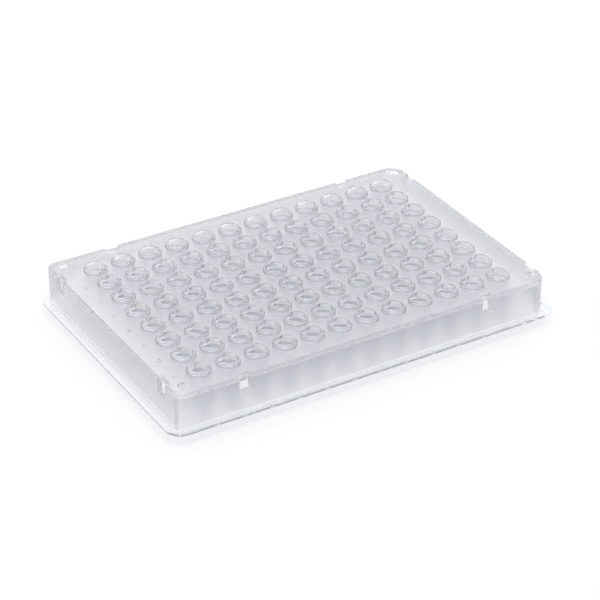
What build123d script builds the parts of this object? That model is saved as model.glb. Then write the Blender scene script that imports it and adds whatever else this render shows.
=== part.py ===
from build123d import *
import os

# One clear moulded plate. X runs along the long side, Y along the short side and Z is up.
# The origin is the centre of the footprint, in the plane that the plate stands on. Sizes are in mm.

# Footprint and heights
LENGTH = 127.76
WIDTH = 85.48
DECK_TOP = 15.0
FLANGE_HEIGHT = 3.9

# Flange: the wider foot at the bottom of the skirt
FLANGE_CORNER = 4.7
FLANGE_EDGE_ROUND = 0.4

# Upper skirt, set in from the flange, with a little draft so that it leaves the mould
LEDGE_X = 2.5
LEDGE_Y = 1.7
SKIRT_DRAFT = 0.7
CORNER_LEFT = 2.5
CORNER_RIGHT = 5.5
TOP_EDGE_ROUND = 1.0

# Thicknesses
WALL = 1.4
DECK = 1.8
WELL_WALL = 0.6

# Wells
COLUMNS = 12
ROWS = 8
PITCH = 9.0
RIM_HEIGHT = 0.7
RIM_WIDTH = 0.45
RIM_SPREAD = 0.5
MOUTH_RADIUS = 2.75
MOUTH_DEPTH = 4.5
FLOOR_RADIUS = 1.2
FLOOR_HEIGHT = 1.2

# Slots through the top of the skirt, two on each side
SLOT_WIDTH = 4.2
SLOT_PAST_WALL = 0.25
SLOT_SILL = 10.2
SLOT_FROM_END = 23.88
SLOT_FROM_SIDE = 11.24

# Round recesses in the corners of the deck
RECESS_RADIUS = 1.45
RECESS_DEPTH = 1.0
RECESS_FROM_END = 6.68
RECESS_FROM_SIDE = 6.54

HALF_LENGTH = LENGTH / 2
HALF_WIDTH = WIDTH / 2
RIM_TOP = DECK_TOP + RIM_HEIGHT
CAVITY_TOP = DECK_TOP - DECK
MOUTH_END = RIM_TOP - MOUTH_DEPTH


def skirt_outline():
    """The upper skirt at the ledge: small corners on the left, large ones on the right."""
    outline = Rectangle(LENGTH - 2 * LEDGE_X, WIDTH - 2 * LEDGE_Y)
    outline = fillet(outline.vertices().group_by(Axis.X)[0], CORNER_LEFT)
    return fillet(outline.vertices().group_by(Axis.X)[-1], CORNER_RIGHT)


def at_height(height):
    return Pos(0, 0, height)


def make_skirt():
    """Stepped skirt and deck as one shell, open below."""
    foot = extrude(RectangleRounded(LENGTH, WIDTH, FLANGE_CORNER), FLANGE_HEIGHT)
    foot = fillet(foot.faces().sort_by(Axis.Z)[-1].edges(), FLANGE_EDGE_ROUND)
    outline = at_height(FLANGE_HEIGHT) * skirt_outline()
    upper = extrude(outline, DECK_TOP - FLANGE_HEIGHT, taper=SKIRT_DRAFT)
    upper = fillet(upper.faces().sort_by(Axis.Z)[-1].edges(), TOP_EDGE_ROUND)

    foot_inside = RectangleRounded(LENGTH - 2 * WALL, WIDTH - 2 * WALL, FLANGE_CORNER - WALL)
    foot_cavity = extrude(foot_inside, FLANGE_HEIGHT - WALL)
    inside = offset(skirt_outline(), -WALL)
    upper_cavity = extrude(at_height(FLANGE_HEIGHT) * inside, CAVITY_TOP - FLANGE_HEIGHT, taper=SKIRT_DRAFT)
    throat = extrude(inside, FLANGE_HEIGHT)
    return foot + upper - foot_cavity - throat - upper_cavity


def make_slots():
    """Cutters for the eight slots. Each goes through the skirt wall and just into the deck."""
    rise = DECK_TOP - SLOT_SILL
    depth = WALL + SLOT_PAST_WALL
    along_x = Box(SLOT_WIDTH, 2 * depth, 2 * rise)
    along_y = Box(2 * depth, SLOT_WIDTH, 2 * rise)
    cutters = []
    for end in (-1, 1):
        for side in (-1, 1):
            slot_x = end * (HALF_LENGTH - SLOT_FROM_END)
            slot_y = side * (HALF_WIDTH - SLOT_FROM_SIDE)
            wall_x = end * (HALF_LENGTH - LEDGE_X)
            wall_y = side * (HALF_WIDTH - LEDGE_Y)
            cutters.append(Pos(slot_x, wall_y, DECK_TOP) * along_x)
            cutters.append(Pos(wall_x, slot_y, DECK_TOP) * along_y)
    return cutters


def well_outside():
    """Tube and raised rim of one well, turned about its own axis."""
    rim_radius = MOUTH_RADIUS + RIM_WIDTH
    foot_radius = rim_radius + RIM_SPREAD
    inside_deck = DECK_TOP - DECK / 2
    tube_radius = MOUTH_RADIUS + WELL_WALL
    points = [
        (0, RIM_TOP),
        (rim_radius, RIM_TOP),
        (foot_radius, DECK_TOP),
        (foot_radius, inside_deck),
        (tube_radius, inside_deck),
        (tube_radius, MOUTH_END),
        (FLOOR_RADIUS + WELL_WALL, FLOOR_HEIGHT - WELL_WALL),
        (0, FLOOR_HEIGHT - WELL_WALL),
    ]
    return revolve(Plane.XZ * make_face(Polyline(*points, close=True)), Axis.Z)


def well_inside():
    """Hollow of one well: straight mouth, long cone and narrow floor."""
    points = [
        (0, RIM_TOP),
        (MOUTH_RADIUS, RIM_TOP),
        (MOUTH_RADIUS, MOUTH_END),
        (FLOOR_RADIUS, FLOOR_HEIGHT),
        (0, FLOOR_HEIGHT),
    ]
    return revolve(Plane.XZ * make_face(Polyline(*points, close=True)), Axis.Z)


def make_plate():
    well_centres = GridLocations(PITCH, PITCH, COLUMNS, ROWS)
    recess_x = HALF_LENGTH - RECESS_FROM_END
    recess_y = HALF_WIDTH - RECESS_FROM_SIDE
    corner_recesses = GridLocations(2 * recess_x, 2 * recess_y, 2, 2)
    recess = at_height(DECK_TOP) * Cylinder(RECESS_RADIUS, 2 * RECESS_DEPTH)
    plate = make_skirt()
    plate -= make_slots()
    plate += [place * well_outside() for place in well_centres]
    plate -= [place * well_inside() for place in well_centres]
    plate -= [place * recess for place in corner_recesses]
    return plate


os.makedirs("parts", exist_ok=True)
export_step(make_plate(), "parts/well_plate.step")
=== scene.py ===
import math

import bmesh
import bpy
from mathutils import Matrix, Vector
from mathutils.geometry import tessellate_polygon


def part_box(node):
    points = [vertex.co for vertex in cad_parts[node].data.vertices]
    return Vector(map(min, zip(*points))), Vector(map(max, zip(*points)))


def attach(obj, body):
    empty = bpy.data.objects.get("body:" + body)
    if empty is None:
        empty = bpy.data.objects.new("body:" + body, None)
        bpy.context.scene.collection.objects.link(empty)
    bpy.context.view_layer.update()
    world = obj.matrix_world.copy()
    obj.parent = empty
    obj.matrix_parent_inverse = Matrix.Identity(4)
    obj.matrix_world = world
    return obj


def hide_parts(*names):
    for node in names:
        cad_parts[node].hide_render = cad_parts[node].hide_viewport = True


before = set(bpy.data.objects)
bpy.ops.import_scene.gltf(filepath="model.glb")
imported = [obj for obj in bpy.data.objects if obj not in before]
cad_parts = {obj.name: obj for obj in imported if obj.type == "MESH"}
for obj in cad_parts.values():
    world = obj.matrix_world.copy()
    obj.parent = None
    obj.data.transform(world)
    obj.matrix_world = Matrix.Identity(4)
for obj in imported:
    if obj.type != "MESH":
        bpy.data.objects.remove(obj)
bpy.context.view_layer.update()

# Lengths below are in millimetres, and become metres where a mesh or an object is made.
MM = 0.001
low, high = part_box("well_plate")
HALF_LENGTH = high.x / MM
HALF_WIDTH = high.y / MM
RIM_TOP = high.z / MM

# Sizes repeated from the part's own source
RIM_HEIGHT = 0.7
DECK_TOP = RIM_TOP - RIM_HEIGHT
DECK = 1.8
CAVITY_TOP = DECK_TOP - DECK
WALL = 1.4
FLANGE_HEIGHT = 3.9
FLANGE_CORNER = 4.7
FLANGE_ROUND = 0.4
LEDGE_X = 2.5
LEDGE_Y = 1.7
DRAFT = math.tan(math.radians(0.7))
CORNER_LEFT = 2.5
CORNER_RIGHT = 5.5
TOP_ROUND = 1.0
COLUMNS = 12
ROWS = 8
PITCH = 9.0
RIM_WIDTH = 0.45
MOUTH_RADIUS = 2.75
MOUTH_DEPTH = 4.5
WELL_WALL = 0.6
FLOOR_RADIUS = 1.2
FLOOR_HEIGHT = 1.2
SLOT_WIDTH = 4.2
SLOT_DEPTH = 1.65
SLOT_SILL = 10.2
SLOT_X = 40.0
SLOT_Y = 31.5
RECESS_RADIUS = 1.45
RECESS_DEPTH = 1.0
RECESS_X = 57.2
RECESS_Y = 36.2

# Rims that are steeper than the solid's, and small rounds that the solid doesn't have
RIM_LEAN = 0.15
RIM_FOOT_ROUND = 0.5
RIM_ROUND = 0.28
RIM_INNER_ROUND = 0.12
BORE_ROUND = 2.0
FLOOR_ROUND = 1.1
TUBE_TOP_ROUND = 0.3
TUBE_TIP_ROUND = 1.5
FOOT_UNDER_ROUND = 0.2
SKIRT_FOOT_ROUND = 0.25
SKIRT_FOOT_MIDDLE = 0.07
SLOT_ROUND = 0.25
SLOT_ROUND_MIDDLE = 0.07
SLOT_TOP_ROUND = 0.4
RECESS_EDGE_ROUND = 0.06
RECESS_FLOOR_ROUND = 0.1

# Mesh fineness. Angles are in degrees.
CORNER_STEPS = 14
WELL_SIDES = 40
UNDER_SIDES = 24
RECESS_SIDES = 32
TOP_ROUND_STEPS = 6
SHARP_ANGLE = 50
NORMAL_WEIGHT = 50
WELD_DIGITS = 4
SAME_PLACE = 1e-5

# Row letters. The weld is in metres.
LETTERS = "ABCDEFGH"
LETTER_SIZE = 2.2
LETTER_HEIGHT = 0.15
LETTER_SINK = 0.03
LETTER_X = -57.1
LETTER_STEPS = 3
LETTER_WELD = 1e-7

# Finishes, by their number on the plate
CLEAR = 0
FROSTED = 1

# Plastic. The tint acts at each surface, and the absorption along the way through.
IOR = 1.46
TINT = (0.96, 0.97, 1.0)
DENSITY = 1.2
ABSORB = (0.4, 0.43, 0.5)
SHADOW_TINT = 0.99
NOISE_LOW = 0.3
NOISE_HIGH = 0.7
NOISE_DETAIL = 3.0

# Camera, in degrees and millimetres, with the clip start in metres
CAMERA_AZIMUTH = -30.906
CAMERA_ELEVATION = 31.310
CAMERA_ROLL = 0.106
CAMERA_PLACE = (-293.936, -493.153, 354.270)
CAMERA_LENS = 137.175
SENSOR = 36
CLIP_START = 0.01

# Light. Sky and lamps together are near a plain level, and the floor in the open just reaches white.
# The lamps' distance and half the floor's length are in metres, and the lamps' powers in watts.
HORIZON = 0.4
ZENITH = 1.25
LAMP_DISTANCE = 1.0
BACK_LAMP = 1.8
SIDE_LAMP = 1.2
FLOOR_GREY = 0.29
FLOOR_GLOW = 0.71
FLOOR_HALF = 3
MAX_BOUNCES = 24
GLOSSY_BOUNCES = 16
TRANSMISSION_BOUNCES = 24


class Shell:
    """A closed surface, with its vertices welded by place and a finish for each face."""

    def __init__(self):
        self.points = []
        self.index = {}
        self.faces = []
        self.finish = []

    def vertex(self, point):
        key = tuple(round(c, WELD_DIGITS) for c in point)
        if key not in self.index:
            self.index[key] = len(self.points)
            self.points.append(key)
        return self.index[key]

    def face(self, points, finish=CLEAR):
        corners = []
        for point in points:
            number = self.vertex(point)
            if number not in corners:
                corners.append(number)
        if len(corners) > 2:
            self.faces.append(corners)
            self.finish.append(finish)

    def strip(self, ring_a, ring_b, finish=CLEAR, skip=()):
        """Faces between two rings with as many points each, but not at the stations to skip."""
        count = len(ring_a)
        for i in range(count):
            if i not in skip:
                j = (i + 1) % count
                self.face((ring_a[i], ring_a[j], ring_b[j], ring_b[i]), finish)

    def fill(self, outer, holes, finish=CLEAR):
        """Triangles over a flat region with holes in it."""
        loops = [[Vector(p) for p in loop] for loop in (outer, *holes)]
        flat = [p for loop in (outer, *holes) for p in loop]
        for triangle in tessellate_polygon(loops):
            self.face([flat[i] for i in triangle], finish)

    def make(self, name, materials):
        mesh = bpy.data.meshes.new(name)
        mesh.from_pydata([Vector(p) * MM for p in self.points], [], self.faces)
        for material in materials:
            mesh.materials.append(material)
        mesh.polygons.foreach_set("material_index", self.finish)
        work = bmesh.new()
        work.from_mesh(mesh)
        bmesh.ops.recalc_face_normals(work, faces=work.faces)
        work.to_mesh(mesh)
        work.free()
        mesh.shade_smooth()
        piece = bpy.data.objects.new(name, mesh)
        bpy.context.scene.collection.objects.link(piece)
        return piece


def circle(x, y, z, radius, sides):
    turn = 2 * math.pi / sides
    return [(x + radius * math.cos(i * turn), y + radius * math.sin(i * turn), z) for i in range(sides)]


def square(x, y, z, half, sides):
    """Points on a square at the same angles as a circle's."""
    points = []
    for i in range(sides):
        across = math.cos(i * 2 * math.pi / sides)
        along = math.sin(i * 2 * math.pi / sides)
        reach = half / max(abs(across), abs(along))
        points.append((x + reach * across, y + reach * along, z))
    return points


def rounded(corners, steps):
    """A polyline with an arc at each corner that has a radius: corners are (r, z, radius).

    A first or last corner that the caller cuts off only gives its neighbour's arc a direction.
    """
    points = []
    for i, (r, z, radius) in enumerate(corners):
        here = Vector((r, z))
        if not radius:
            points.append((r, z))
            continue
        to_last = (Vector(corners[i - 1][:2]) - here).normalized()
        to_next = (Vector(corners[i + 1][:2]) - here).normalized()
        half = to_last.angle(to_next) / 2
        reach = radius / math.tan(half)
        centre = here + (to_last + to_next).normalized() * radius / math.sin(half)
        start = here + to_last * reach - centre
        end = here + to_next * reach - centre
        sweep = math.atan2(start.x * end.y - start.y * end.x, start.dot(end))
        for k in range(steps + 1):
            turn = Matrix.Rotation(sweep * k / steps, 2)
            points.append(tuple(centre + turn @ start))
    return points


class Outline:
    """A rounded rectangle as a ring of stations, counter-clockwise, with the slots' edges among them."""

    # Along the wall from the slot's middle, and how deep in from the outer face
    SLOT = (
        (-SLOT_WIDTH / 2 - SLOT_ROUND, 0.0),
        (-SLOT_WIDTH / 2 - SLOT_ROUND_MIDDLE, SLOT_ROUND_MIDDLE),
        (-SLOT_WIDTH / 2, SLOT_ROUND),
        (-SLOT_WIDTH / 2, "wall"),
        (-SLOT_WIDTH / 2, "full"),
        (SLOT_WIDTH / 2, "full"),
        (SLOT_WIDTH / 2, "wall"),
        (SLOT_WIDTH / 2, SLOT_ROUND),
        (SLOT_WIDTH / 2 + SLOT_ROUND_MIDDLE, SLOT_ROUND_MIDDLE),
        (SLOT_WIDTH / 2 + SLOT_ROUND, 0.0),
    )

    def __init__(self, half_x, half_y, left, right):
        self.half_x, self.half_y = half_x, half_y
        self.left, self.right = left, right

    def ring(self, z, inset, notch=None, slot_inset=0.0, wall=None):
        """All stations at a height. With notch, the slots go in: its value is the full depth."""
        points = []
        sides = ((0, -1, 1), (1, 0, 1), (0, 1, -1), (-1, 0, -1))
        for number, (nx, ny, way) in enumerate(sides):
            far = self.half_x if nx else self.half_y
            centre = SLOT_X if ny else SLOT_Y
            for place in (-way * centre, way * centre):
                for offset, depth in self.SLOT:
                    along = place + way * offset
                    inward = inset
                    if notch is not None:
                        if depth == "full":
                            inward = notch + slot_inset
                        elif depth == "wall":
                            inward = wall
                        else:
                            inward = inset + depth
                    if ny:
                        points.append((along, ny * (far - inward), z))
                    else:
                        points.append((nx * (far - inward), along, z))
            turn = -math.pi / 2 + number * math.pi / 2
            sx, sy = ((1, -1), (1, 1), (-1, 1), (-1, -1))[number]
            radius = self.right if sx > 0 else self.left
            cx, cy = sx * (self.half_x - radius), sy * (self.half_y - radius)
            for k in range(CORNER_STEPS + 1):
                angle = turn + k * math.pi / 2 / CORNER_STEPS
                reach = radius - inset
                points.append((cx + reach * math.cos(angle), cy + reach * math.sin(angle), z))
        return points


# Where each slot's stations start in a ring, and those at which a slot is open
PER_SIDE = 2 * len(Outline.SLOT) + CORNER_STEPS + 1
SLOT_STARTS = [side * PER_SIDE + k * len(Outline.SLOT) for side in range(4) for k in range(2)]
OPEN = {start + k for start in SLOT_STARTS for k in (3, 4, 5)}


def draft(z):
    """How far the skirt has drawn in at a height."""
    return (z - FLANGE_HEIGHT) * DRAFT


def make_plate(materials):
    """The whole moulding as one closed surface."""
    shell = Shell()
    foot = Outline(HALF_LENGTH, HALF_WIDTH, FLANGE_CORNER, FLANGE_CORNER)
    skirt = Outline(HALF_LENGTH - LEDGE_X, HALF_WIDTH - LEDGE_Y, CORNER_LEFT, CORNER_RIGHT)

    # Outside, from the bottom ring up to the sills of the slots
    under_round = rounded([(3.0, 0, 0), (0, 0, FOOT_UNDER_ROUND), (0, 2, 0)], 2)[1:-1]
    edge_round = rounded([(0, 2, 0), (0, FLANGE_HEIGHT, FLANGE_ROUND), (2, FLANGE_HEIGHT, 0)], 4)[1:-1]
    base_round = [
        (-SKIRT_FOOT_ROUND, FLANGE_HEIGHT),
        (-SKIRT_FOOT_MIDDLE, FLANGE_HEIGHT + SKIRT_FOOT_MIDDLE),
        (0.0, FLANGE_HEIGHT + SKIRT_FOOT_ROUND),
    ]
    outer = [foot.ring(z, inset) for inset, z in under_round + edge_round]
    outer += [skirt.ring(z, inset + draft(z)) for inset, z in base_round]
    outer.append(skirt.ring(SLOT_SILL, draft(SLOT_SILL)))
    for a, b in zip(outer, outer[1:]):
        shell.strip(a, b)

    # Between the sills and the deck, where the slots are open
    def wall_at(z):
        return WALL + draft(z)

    lower = skirt.ring(SLOT_SILL, draft(SLOT_SILL), SLOT_DEPTH, wall=wall_at(SLOT_SILL))
    upper = skirt.ring(CAVITY_TOP, draft(CAVITY_TOP), SLOT_DEPTH, wall=wall_at(CAVITY_TOP))
    shell.strip(lower, upper, CLEAR, OPEN)

    # The sills: thin faces along each slot's rounded edges, and its floor from face to face
    sill = outer[-1]
    for start in SLOT_STARTS:
        for k in (0, 1, 7, 8):
            i, j = start + k, start + k + 1
            shell.face((sill[i], sill[j], lower[j], lower[i]))
        shell.face([sill[start + k] for k in range(2, 8)] + [lower[start + k] for k in (7, 6, 3, 2)])

    # Deck edge, its round and the top face
    last = upper
    for k in range(TOP_ROUND_STEPS + 1):
        angle = k * math.pi / 2 / TOP_ROUND_STEPS
        z = DECK_TOP - TOP_ROUND + TOP_ROUND * math.sin(angle)
        inset = draft(DECK_TOP - TOP_ROUND) + TOP_ROUND * (1 - math.cos(angle))
        small = max(0.0, (z - DECK_TOP + SLOT_TOP_ROUND) / SLOT_TOP_ROUND)
        slot_inset = SLOT_TOP_ROUND * (1 - math.sqrt(max(0.0, 1 - small * small)))
        ring = skirt.ring(z, inset, SLOT_DEPTH, slot_inset, wall=wall_at(CAVITY_TOP))
        shell.strip(last, ring)
        last = ring
    top_ring = last

    # Inside of the skirt, frosted, and of the foot, clear
    inside = skirt.ring(CAVITY_TOP, wall_at(CAVITY_TOP))
    inside_sill = skirt.ring(SLOT_SILL, wall_at(SLOT_SILL))
    shell.strip(inside, inside_sill, FROSTED, OPEN)
    rings = [inside_sill, skirt.ring(FLANGE_HEIGHT, WALL), skirt.ring(FLANGE_HEIGHT - WALL, WALL)]
    cavity = Outline(HALF_LENGTH - WALL, HALF_WIDTH - WALL, FLANGE_CORNER - WALL, FLANGE_CORNER - WALL)
    rings += [cavity.ring(FLANGE_HEIGHT - WALL, 0), cavity.ring(0, 0), outer[0]]
    for a, b in zip(rings, rings[1:]):
        shell.strip(a, b, FROSTED if a is inside_sill else CLEAR)

    # Wells. Each fills its own square of the grid, on the deck and under it.
    top_profile = rounded([
        (4.2, DECK_TOP, 0),
        (MOUTH_RADIUS + RIM_WIDTH + RIM_LEAN, DECK_TOP, RIM_FOOT_ROUND),
        (MOUTH_RADIUS + RIM_WIDTH, RIM_TOP, RIM_ROUND),
        (MOUTH_RADIUS, RIM_TOP, RIM_INNER_ROUND),
        (MOUTH_RADIUS, RIM_TOP - MOUTH_DEPTH, 0),
    ], 3)[1:-1]
    top_profile += rounded([
        (MOUTH_RADIUS, RIM_TOP, 0),
        (MOUTH_RADIUS, RIM_TOP - MOUTH_DEPTH, BORE_ROUND),
        (FLOOR_RADIUS, FLOOR_HEIGHT, FLOOR_ROUND),
        (0, FLOOR_HEIGHT, 0),
    ], 2)[1:]
    under_profile = rounded([
        (4.2, CAVITY_TOP, 0),
        (MOUTH_RADIUS + WELL_WALL, CAVITY_TOP, TUBE_TOP_ROUND),
        (MOUTH_RADIUS + WELL_WALL, RIM_TOP - MOUTH_DEPTH, BORE_ROUND),
        (FLOOR_RADIUS + WELL_WALL, FLOOR_HEIGHT - WELL_WALL, TUBE_TIP_ROUND),
        (0, FLOOR_HEIGHT - WELL_WALL, 0),
    ], 2)[1:]
    half = PITCH / 2
    for column in range(COLUMNS):
        for row in range(ROWS):
            x = (column - (COLUMNS - 1) / 2) * PITCH
            y = ((ROWS - 1) / 2 - row) * PITCH
            for profile, sides, z, finish in (
                (top_profile, WELL_SIDES, DECK_TOP, CLEAR),
                (under_profile, UNDER_SIDES, CAVITY_TOP, FROSTED),
            ):
                last = square(x, y, z, half, sides)
                for r, height in profile[:-1]:
                    ring = circle(x, y, height, r, sides)
                    shell.strip(last, ring, finish)
                    last = ring
                centre = (x, y, profile[-1][1])
                shell.strip(last, [centre] * sides, finish)

    # Flat faces between the grid of wells and the edges
    def grid_edge(z, sides):
        steps = sides // 8
        angles = [k * math.pi / 4 / steps for k in range(-steps, steps)]
        offsets = sorted({round(half * math.tan(angle), 9) for angle in angles})
        reach_x, reach_y = COLUMNS * half, ROWS * half
        xs = [(c - (COLUMNS - 1) / 2) * PITCH + o for c in range(COLUMNS) for o in offsets]
        ys = [(r - (ROWS - 1) / 2) * PITCH + o for r in range(ROWS) for o in offsets]
        loop = [(x, -reach_y, z) for x in xs] + [(reach_x, y, z) for y in ys]
        return loop + [(-x, reach_y, z) for x in xs] + [(-reach_x, -y, z) for y in ys]

    recess_loops = []
    for sx in (-1, 1):
        for sy in (-1, 1):
            x, y = sx * RECESS_X, sy * RECESS_Y
            profile = rounded([
                (3.0, DECK_TOP, 0),
                (RECESS_RADIUS, DECK_TOP, RECESS_EDGE_ROUND),
                (RECESS_RADIUS, DECK_TOP - RECESS_DEPTH, RECESS_FLOOR_ROUND),
                (0, DECK_TOP - RECESS_DEPTH, 0),
            ], 3)[1:-1]
            loops = [circle(x, y, z, r, RECESS_SIDES) for r, z in profile]
            for a, b in zip(loops, loops[1:]):
                shell.strip(a, b)
            shell.face(loops[-1])
            recess_loops.append(loops[0])
    shell.fill(top_ring, [grid_edge(DECK_TOP, WELL_SIDES)] + recess_loops)

    # The hollow's ceiling runs along the inside of the skirt, and past it at each open slot
    ceiling = [p if i - 1 in OPEN or i in OPEN else q for i, (p, q) in enumerate(zip(upper, inside))]
    clean = []
    for p in ceiling:
        if not clean or max(abs(a - b) for a, b in zip(p, clean[-1])) > SAME_PLACE:
            clean.append(p)
    shell.fill(clean, [grid_edge(CAVITY_TOP, UNDER_SIDES)], FROSTED)
    return shell.make("plate", materials)


def plastic(name, roughest, smoothest, grain, depth):
    """Clear plastic that tints with thickness. Its roughness and its small relief both vary.

    The grain is per metre, and the depth of the relief is in millimetres.
    """
    material = bpy.data.materials.new(name)
    material.use_nodes = True
    nodes, links = material.node_tree.nodes, material.node_tree.links
    shader = nodes["Principled BSDF"]
    output = nodes["Material Output"]
    shader.inputs["Base Color"].default_value = (*TINT, 1)
    shader.inputs["Transmission Weight"].default_value = 1.0
    shader.inputs["IOR"].default_value = IOR

    place = nodes.new("ShaderNodeTexCoord")
    noise = nodes.new("ShaderNodeTexNoise")
    noise.inputs["Scale"].default_value = grain
    noise.inputs["Detail"].default_value = NOISE_DETAIL
    links.new(place.outputs["Object"], noise.inputs["Vector"])
    spread = nodes.new("ShaderNodeMapRange")
    spread.inputs["From Min"].default_value = NOISE_LOW
    spread.inputs["From Max"].default_value = NOISE_HIGH
    spread.inputs["To Min"].default_value = smoothest
    spread.inputs["To Max"].default_value = roughest
    links.new(noise.outputs["Fac"], spread.inputs["Value"])
    links.new(spread.outputs[0], shader.inputs["Roughness"])
    bump = nodes.new("ShaderNodeBump")
    bump.inputs["Strength"].default_value = 1.0
    bump.inputs["Distance"].default_value = depth * MM
    links.new(noise.outputs["Fac"], bump.inputs["Height"])
    links.new(bump.outputs[0], shader.inputs["Normal"])

    volume = nodes.new("ShaderNodeVolumeAbsorption")
    volume.inputs["Color"].default_value = (*ABSORB, 1)
    volume.inputs["Density"].default_value = DENSITY
    links.new(volume.outputs[0], output.inputs["Volume"])

    # Lamps shine through clear plastic, so shadow rays pass almost whole
    through = nodes.new("ShaderNodeBsdfTransparent")
    through.inputs["Color"].default_value = (SHADOW_TINT, SHADOW_TINT, SHADOW_TINT, 1)
    mix = nodes.new("ShaderNodeMixShader")
    light_path = nodes.new("ShaderNodeLightPath")
    links.new(light_path.outputs["Is Shadow Ray"], mix.inputs[0])
    links.new(shader.outputs[0], mix.inputs[1])
    links.new(through.outputs[0], mix.inputs[2])
    links.new(mix.outputs[0], output.inputs["Surface"])
    return material


def row_letters(material):
    """Letters A to H on the deck, left of each row, as one raised mesh."""
    mesh = bpy.data.meshes.new("row_letters")
    work = bmesh.new()
    for row in range(ROWS):
        curve = bpy.data.curves.new("letter", "FONT")
        curve.body = LETTERS[row]
        curve.size = LETTER_SIZE * MM
        curve.extrude = LETTER_HEIGHT / 2 * MM
        curve.resolution_u = LETTER_STEPS
        curve.align_x = "CENTER"
        curve.align_y = "CENTER"
        holder = bpy.data.objects.new("letter", curve)
        bpy.context.scene.collection.objects.link(holder)
        bpy.context.view_layer.update()
        depsgraph = bpy.context.evaluated_depsgraph_get()
        part = bpy.data.meshes.new_from_object(holder.evaluated_get(depsgraph))
        y = ((ROWS - 1) / 2 - row) * PITCH
        middle = Vector((LETTER_X, y, DECK_TOP + LETTER_HEIGHT / 2 - LETTER_SINK))
        part.transform(Matrix.Translation(middle * MM))
        work.from_mesh(part)
        bpy.data.objects.remove(holder)
        bpy.data.curves.remove(curve)
        bpy.data.meshes.remove(part)
    bmesh.ops.remove_doubles(work, verts=work.verts, dist=LETTER_WELD)
    bmesh.ops.recalc_face_normals(work, faces=work.faces)
    work.to_mesh(mesh)
    work.free()
    mesh.materials.clear()
    mesh.materials.append(material)
    for polygon in mesh.polygons:
        polygon.material_index = 0
    piece = bpy.data.objects.new("row_letters", mesh)
    bpy.context.scene.collection.objects.link(piece)
    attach(piece, "root")


def make_world(horizon, zenith):
    """A white sky that grows brighter from the horizon to the zenith."""
    world = bpy.data.worlds.new("studio")
    bpy.context.scene.world = world
    world.use_nodes = True
    nodes, links = world.node_tree.nodes, world.node_tree.links
    sky = nodes["Background"]
    sky.inputs["Color"].default_value = (1, 1, 1, 1)
    direction = nodes.new("ShaderNodeTexCoord")
    parts = nodes.new("ShaderNodeSeparateXYZ")
    links.new(direction.outputs["Generated"], parts.inputs[0])
    strength = nodes.new("ShaderNodeMapRange")
    strength.inputs["From Min"].default_value = 0.0
    strength.inputs["From Max"].default_value = 1.0
    strength.inputs["To Min"].default_value = horizon
    strength.inputs["To Max"].default_value = zenith
    links.new(parts.outputs["Z"], strength.inputs["Value"])
    links.new(strength.outputs[0], sky.inputs["Strength"])


def softbox(name, azimuth, elevation, size, power):
    """A large square lamp that faces the plate. Azimuth 0 is in front, and grows to the right."""
    turn, rise = math.radians(azimuth), math.radians(elevation)
    across, along = math.sin(turn) * math.cos(rise), -math.cos(turn) * math.cos(rise)
    away = Vector((across, along, math.sin(rise)))
    data = bpy.data.lights.new(name, "AREA")
    data.shape = "SQUARE"
    data.size = size
    data.energy = power
    lamp = bpy.data.objects.new(name, data)
    lamp.location = away * LAMP_DISTANCE
    lamp.rotation_euler = away.to_track_quat("Z", "Y").to_euler()
    bpy.context.scene.collection.objects.link(lamp)


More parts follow.
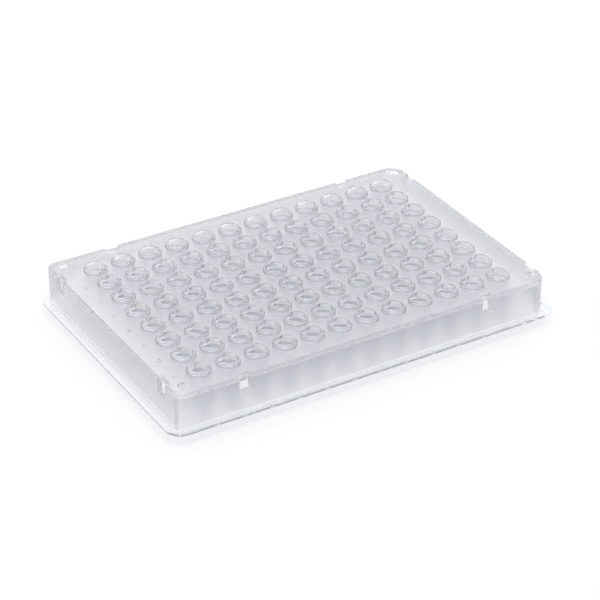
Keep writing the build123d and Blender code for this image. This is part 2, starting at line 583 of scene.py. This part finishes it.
def make_floor(grey, glow):
    """A pale floor that takes the plate's shadow, with a glow that lights nothing diffuse."""
    mesh = bpy.data.meshes.new("floor")
    corners = [(x * FLOOR_HALF, y * FLOOR_HALF, 0) for x, y in ((-1, -1), (1, -1), (1, 1), (-1, 1))]
    mesh.from_pydata(corners, [], [(0, 1, 2, 3)])
    fl = bpy.data.objects.new("floor", mesh)
    bpy.context.scene.collection.objects.link(fl)
    material = bpy.data.materials.new("floor")
    material.use_nodes = True
    nodes, links = material.node_tree.nodes, material.node_tree.links
    nodes.clear()
    output = nodes.new("ShaderNodeOutputMaterial")
    both = nodes.new("ShaderNodeAddShader")
    diffuse = nodes.new("ShaderNodeBsdfDiffuse")
    emission = nodes.new("ShaderNodeEmission")
    light_path = nodes.new("ShaderNodeLightPath")
    diffuse.inputs["Color"].default_value = (grey, grey, grey, 1)
    seen = light_path.outputs["Is Camera Ray"]
    for name in ("Is Glossy Ray", "Is Transmission Ray"):
        either = nodes.new("ShaderNodeMath")
        either.operation = "MAXIMUM"
        links.new(seen, either.inputs[0])
        links.new(light_path.outputs[name], either.inputs[1])
        seen = either.outputs[0]
    strength = nodes.new("ShaderNodeMath")
    strength.operation = "MULTIPLY"
    strength.inputs[1].default_value = glow
    links.new(seen, strength.inputs[0])
    links.new(strength.outputs[0], emission.inputs["Strength"])
    links.new(diffuse.outputs[0], both.inputs[0])
    links.new(emission.outputs[0], both.inputs[1])
    links.new(both.outputs[0], output.inputs[0])
    mesh.materials.append(material)


# The plate and its letters
clear = plastic("clear", roughest=0.05, smoothest=0.01, grain=500.0, depth=0.012)
frosted = plastic("frosted", roughest=0.7, smoothest=0.52, grain=2500.0, depth=0.01)
plate = make_plate([clear, frosted])
bpy.context.view_layer.objects.active = plate
weighted = plate.modifiers.new("weighted", "WEIGHTED_NORMAL")
weighted.weight = NORMAL_WEIGHT
weighted.keep_sharp = True
plate.data.set_sharp_from_angle(angle=math.radians(SHARP_ANGLE))
bpy.ops.object.modifier_apply(modifier=weighted.name)
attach(plate, "root")
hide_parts("well_plate")
row_letters(clear)

# Camera
azimuth, elevation, roll = map(math.radians, (CAMERA_AZIMUTH, CAMERA_ELEVATION, CAMERA_ROLL))
back = Vector((
    math.sin(azimuth) * math.cos(elevation),
    -math.cos(azimuth) * math.cos(elevation),
    math.sin(elevation),
))
right = (-back).cross(Vector((0, 0, 1))).normalized()
up = right.cross(-back)
camera_data = bpy.data.cameras.new("camera")
camera_data.lens = CAMERA_LENS
camera_data.sensor_width = SENSOR
camera_data.clip_start = CLIP_START
camera = bpy.data.objects.new("camera", camera_data)
bpy.context.scene.collection.objects.link(camera)
side = math.cos(roll) * right + math.sin(roll) * up
top = -math.sin(roll) * right + math.cos(roll) * up
placed = Matrix((side, top, back)).transposed().to_4x4()
placed.translation = Vector(CAMERA_PLACE) * MM
camera.matrix_world = placed
bpy.context.scene.camera = camera

# Light and floor
softbox("back_lamp", azimuth=149.0, elevation=38.0, size=1.2, power=BACK_LAMP)
softbox("side_lamp", azimuth=-70.0, elevation=25.0, size=0.6, power=SIDE_LAMP)
make_world(HORIZON, ZENITH)
make_floor(FLOOR_GREY, FLOOR_GLOW)

# Render settings that the plastic and the white background need
scene = bpy.context.scene
scene.view_settings.view_transform = "Standard"
scene.cycles.max_bounces = MAX_BOUNCES
scene.cycles.glossy_bounces = GLOSSY_BOUNCES
scene.cycles.transmission_bounces = TRANSMISSION_BOUNCES
